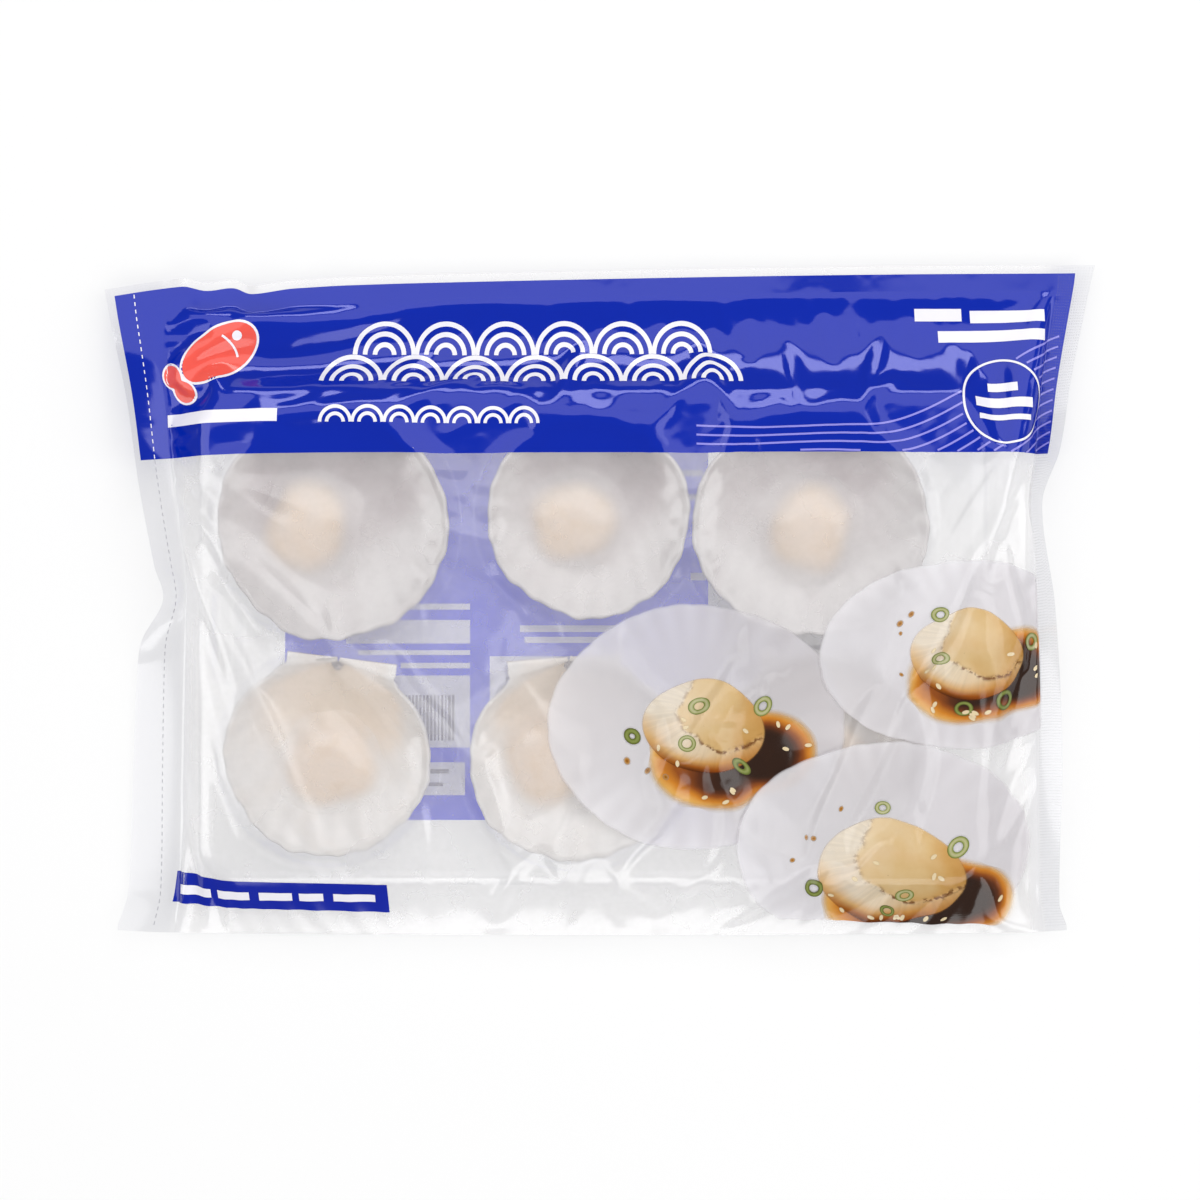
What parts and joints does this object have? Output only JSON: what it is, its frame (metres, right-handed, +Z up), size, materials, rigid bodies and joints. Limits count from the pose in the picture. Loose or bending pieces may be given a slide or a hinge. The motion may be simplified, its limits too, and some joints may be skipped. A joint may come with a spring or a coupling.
{
  "type": "sealed bag of half-shell scallops",
  "caption": "Clear film bag with a blue header, sealed at its sides and top and folded at the bottom, drawn tight over a clear tray of scallops in their half shells.",
  "frame": {"origin": "middle of the bag's outline, on the plane that its back rests on", "axes": "+X along the bag to its right side, +Y towards its top seal, +Z up out of its printed front"},
  "size_m": [0.3268, 0.2212, 0.0193],
  "materials": {
    "clear_film": "clear, glossy",
    "blue_print": "glossy ink on film",
    "picture_print": "glossy ink on film",
    "clear_tray": "clear, smooth",
    "scallop_shell": "satin, ribbed",
    "scallop_meat": "moist, translucent"
  },
  "bodies": {
    "root": {"sealed_bag": "clear_film"}
  },
  "joints": []
}
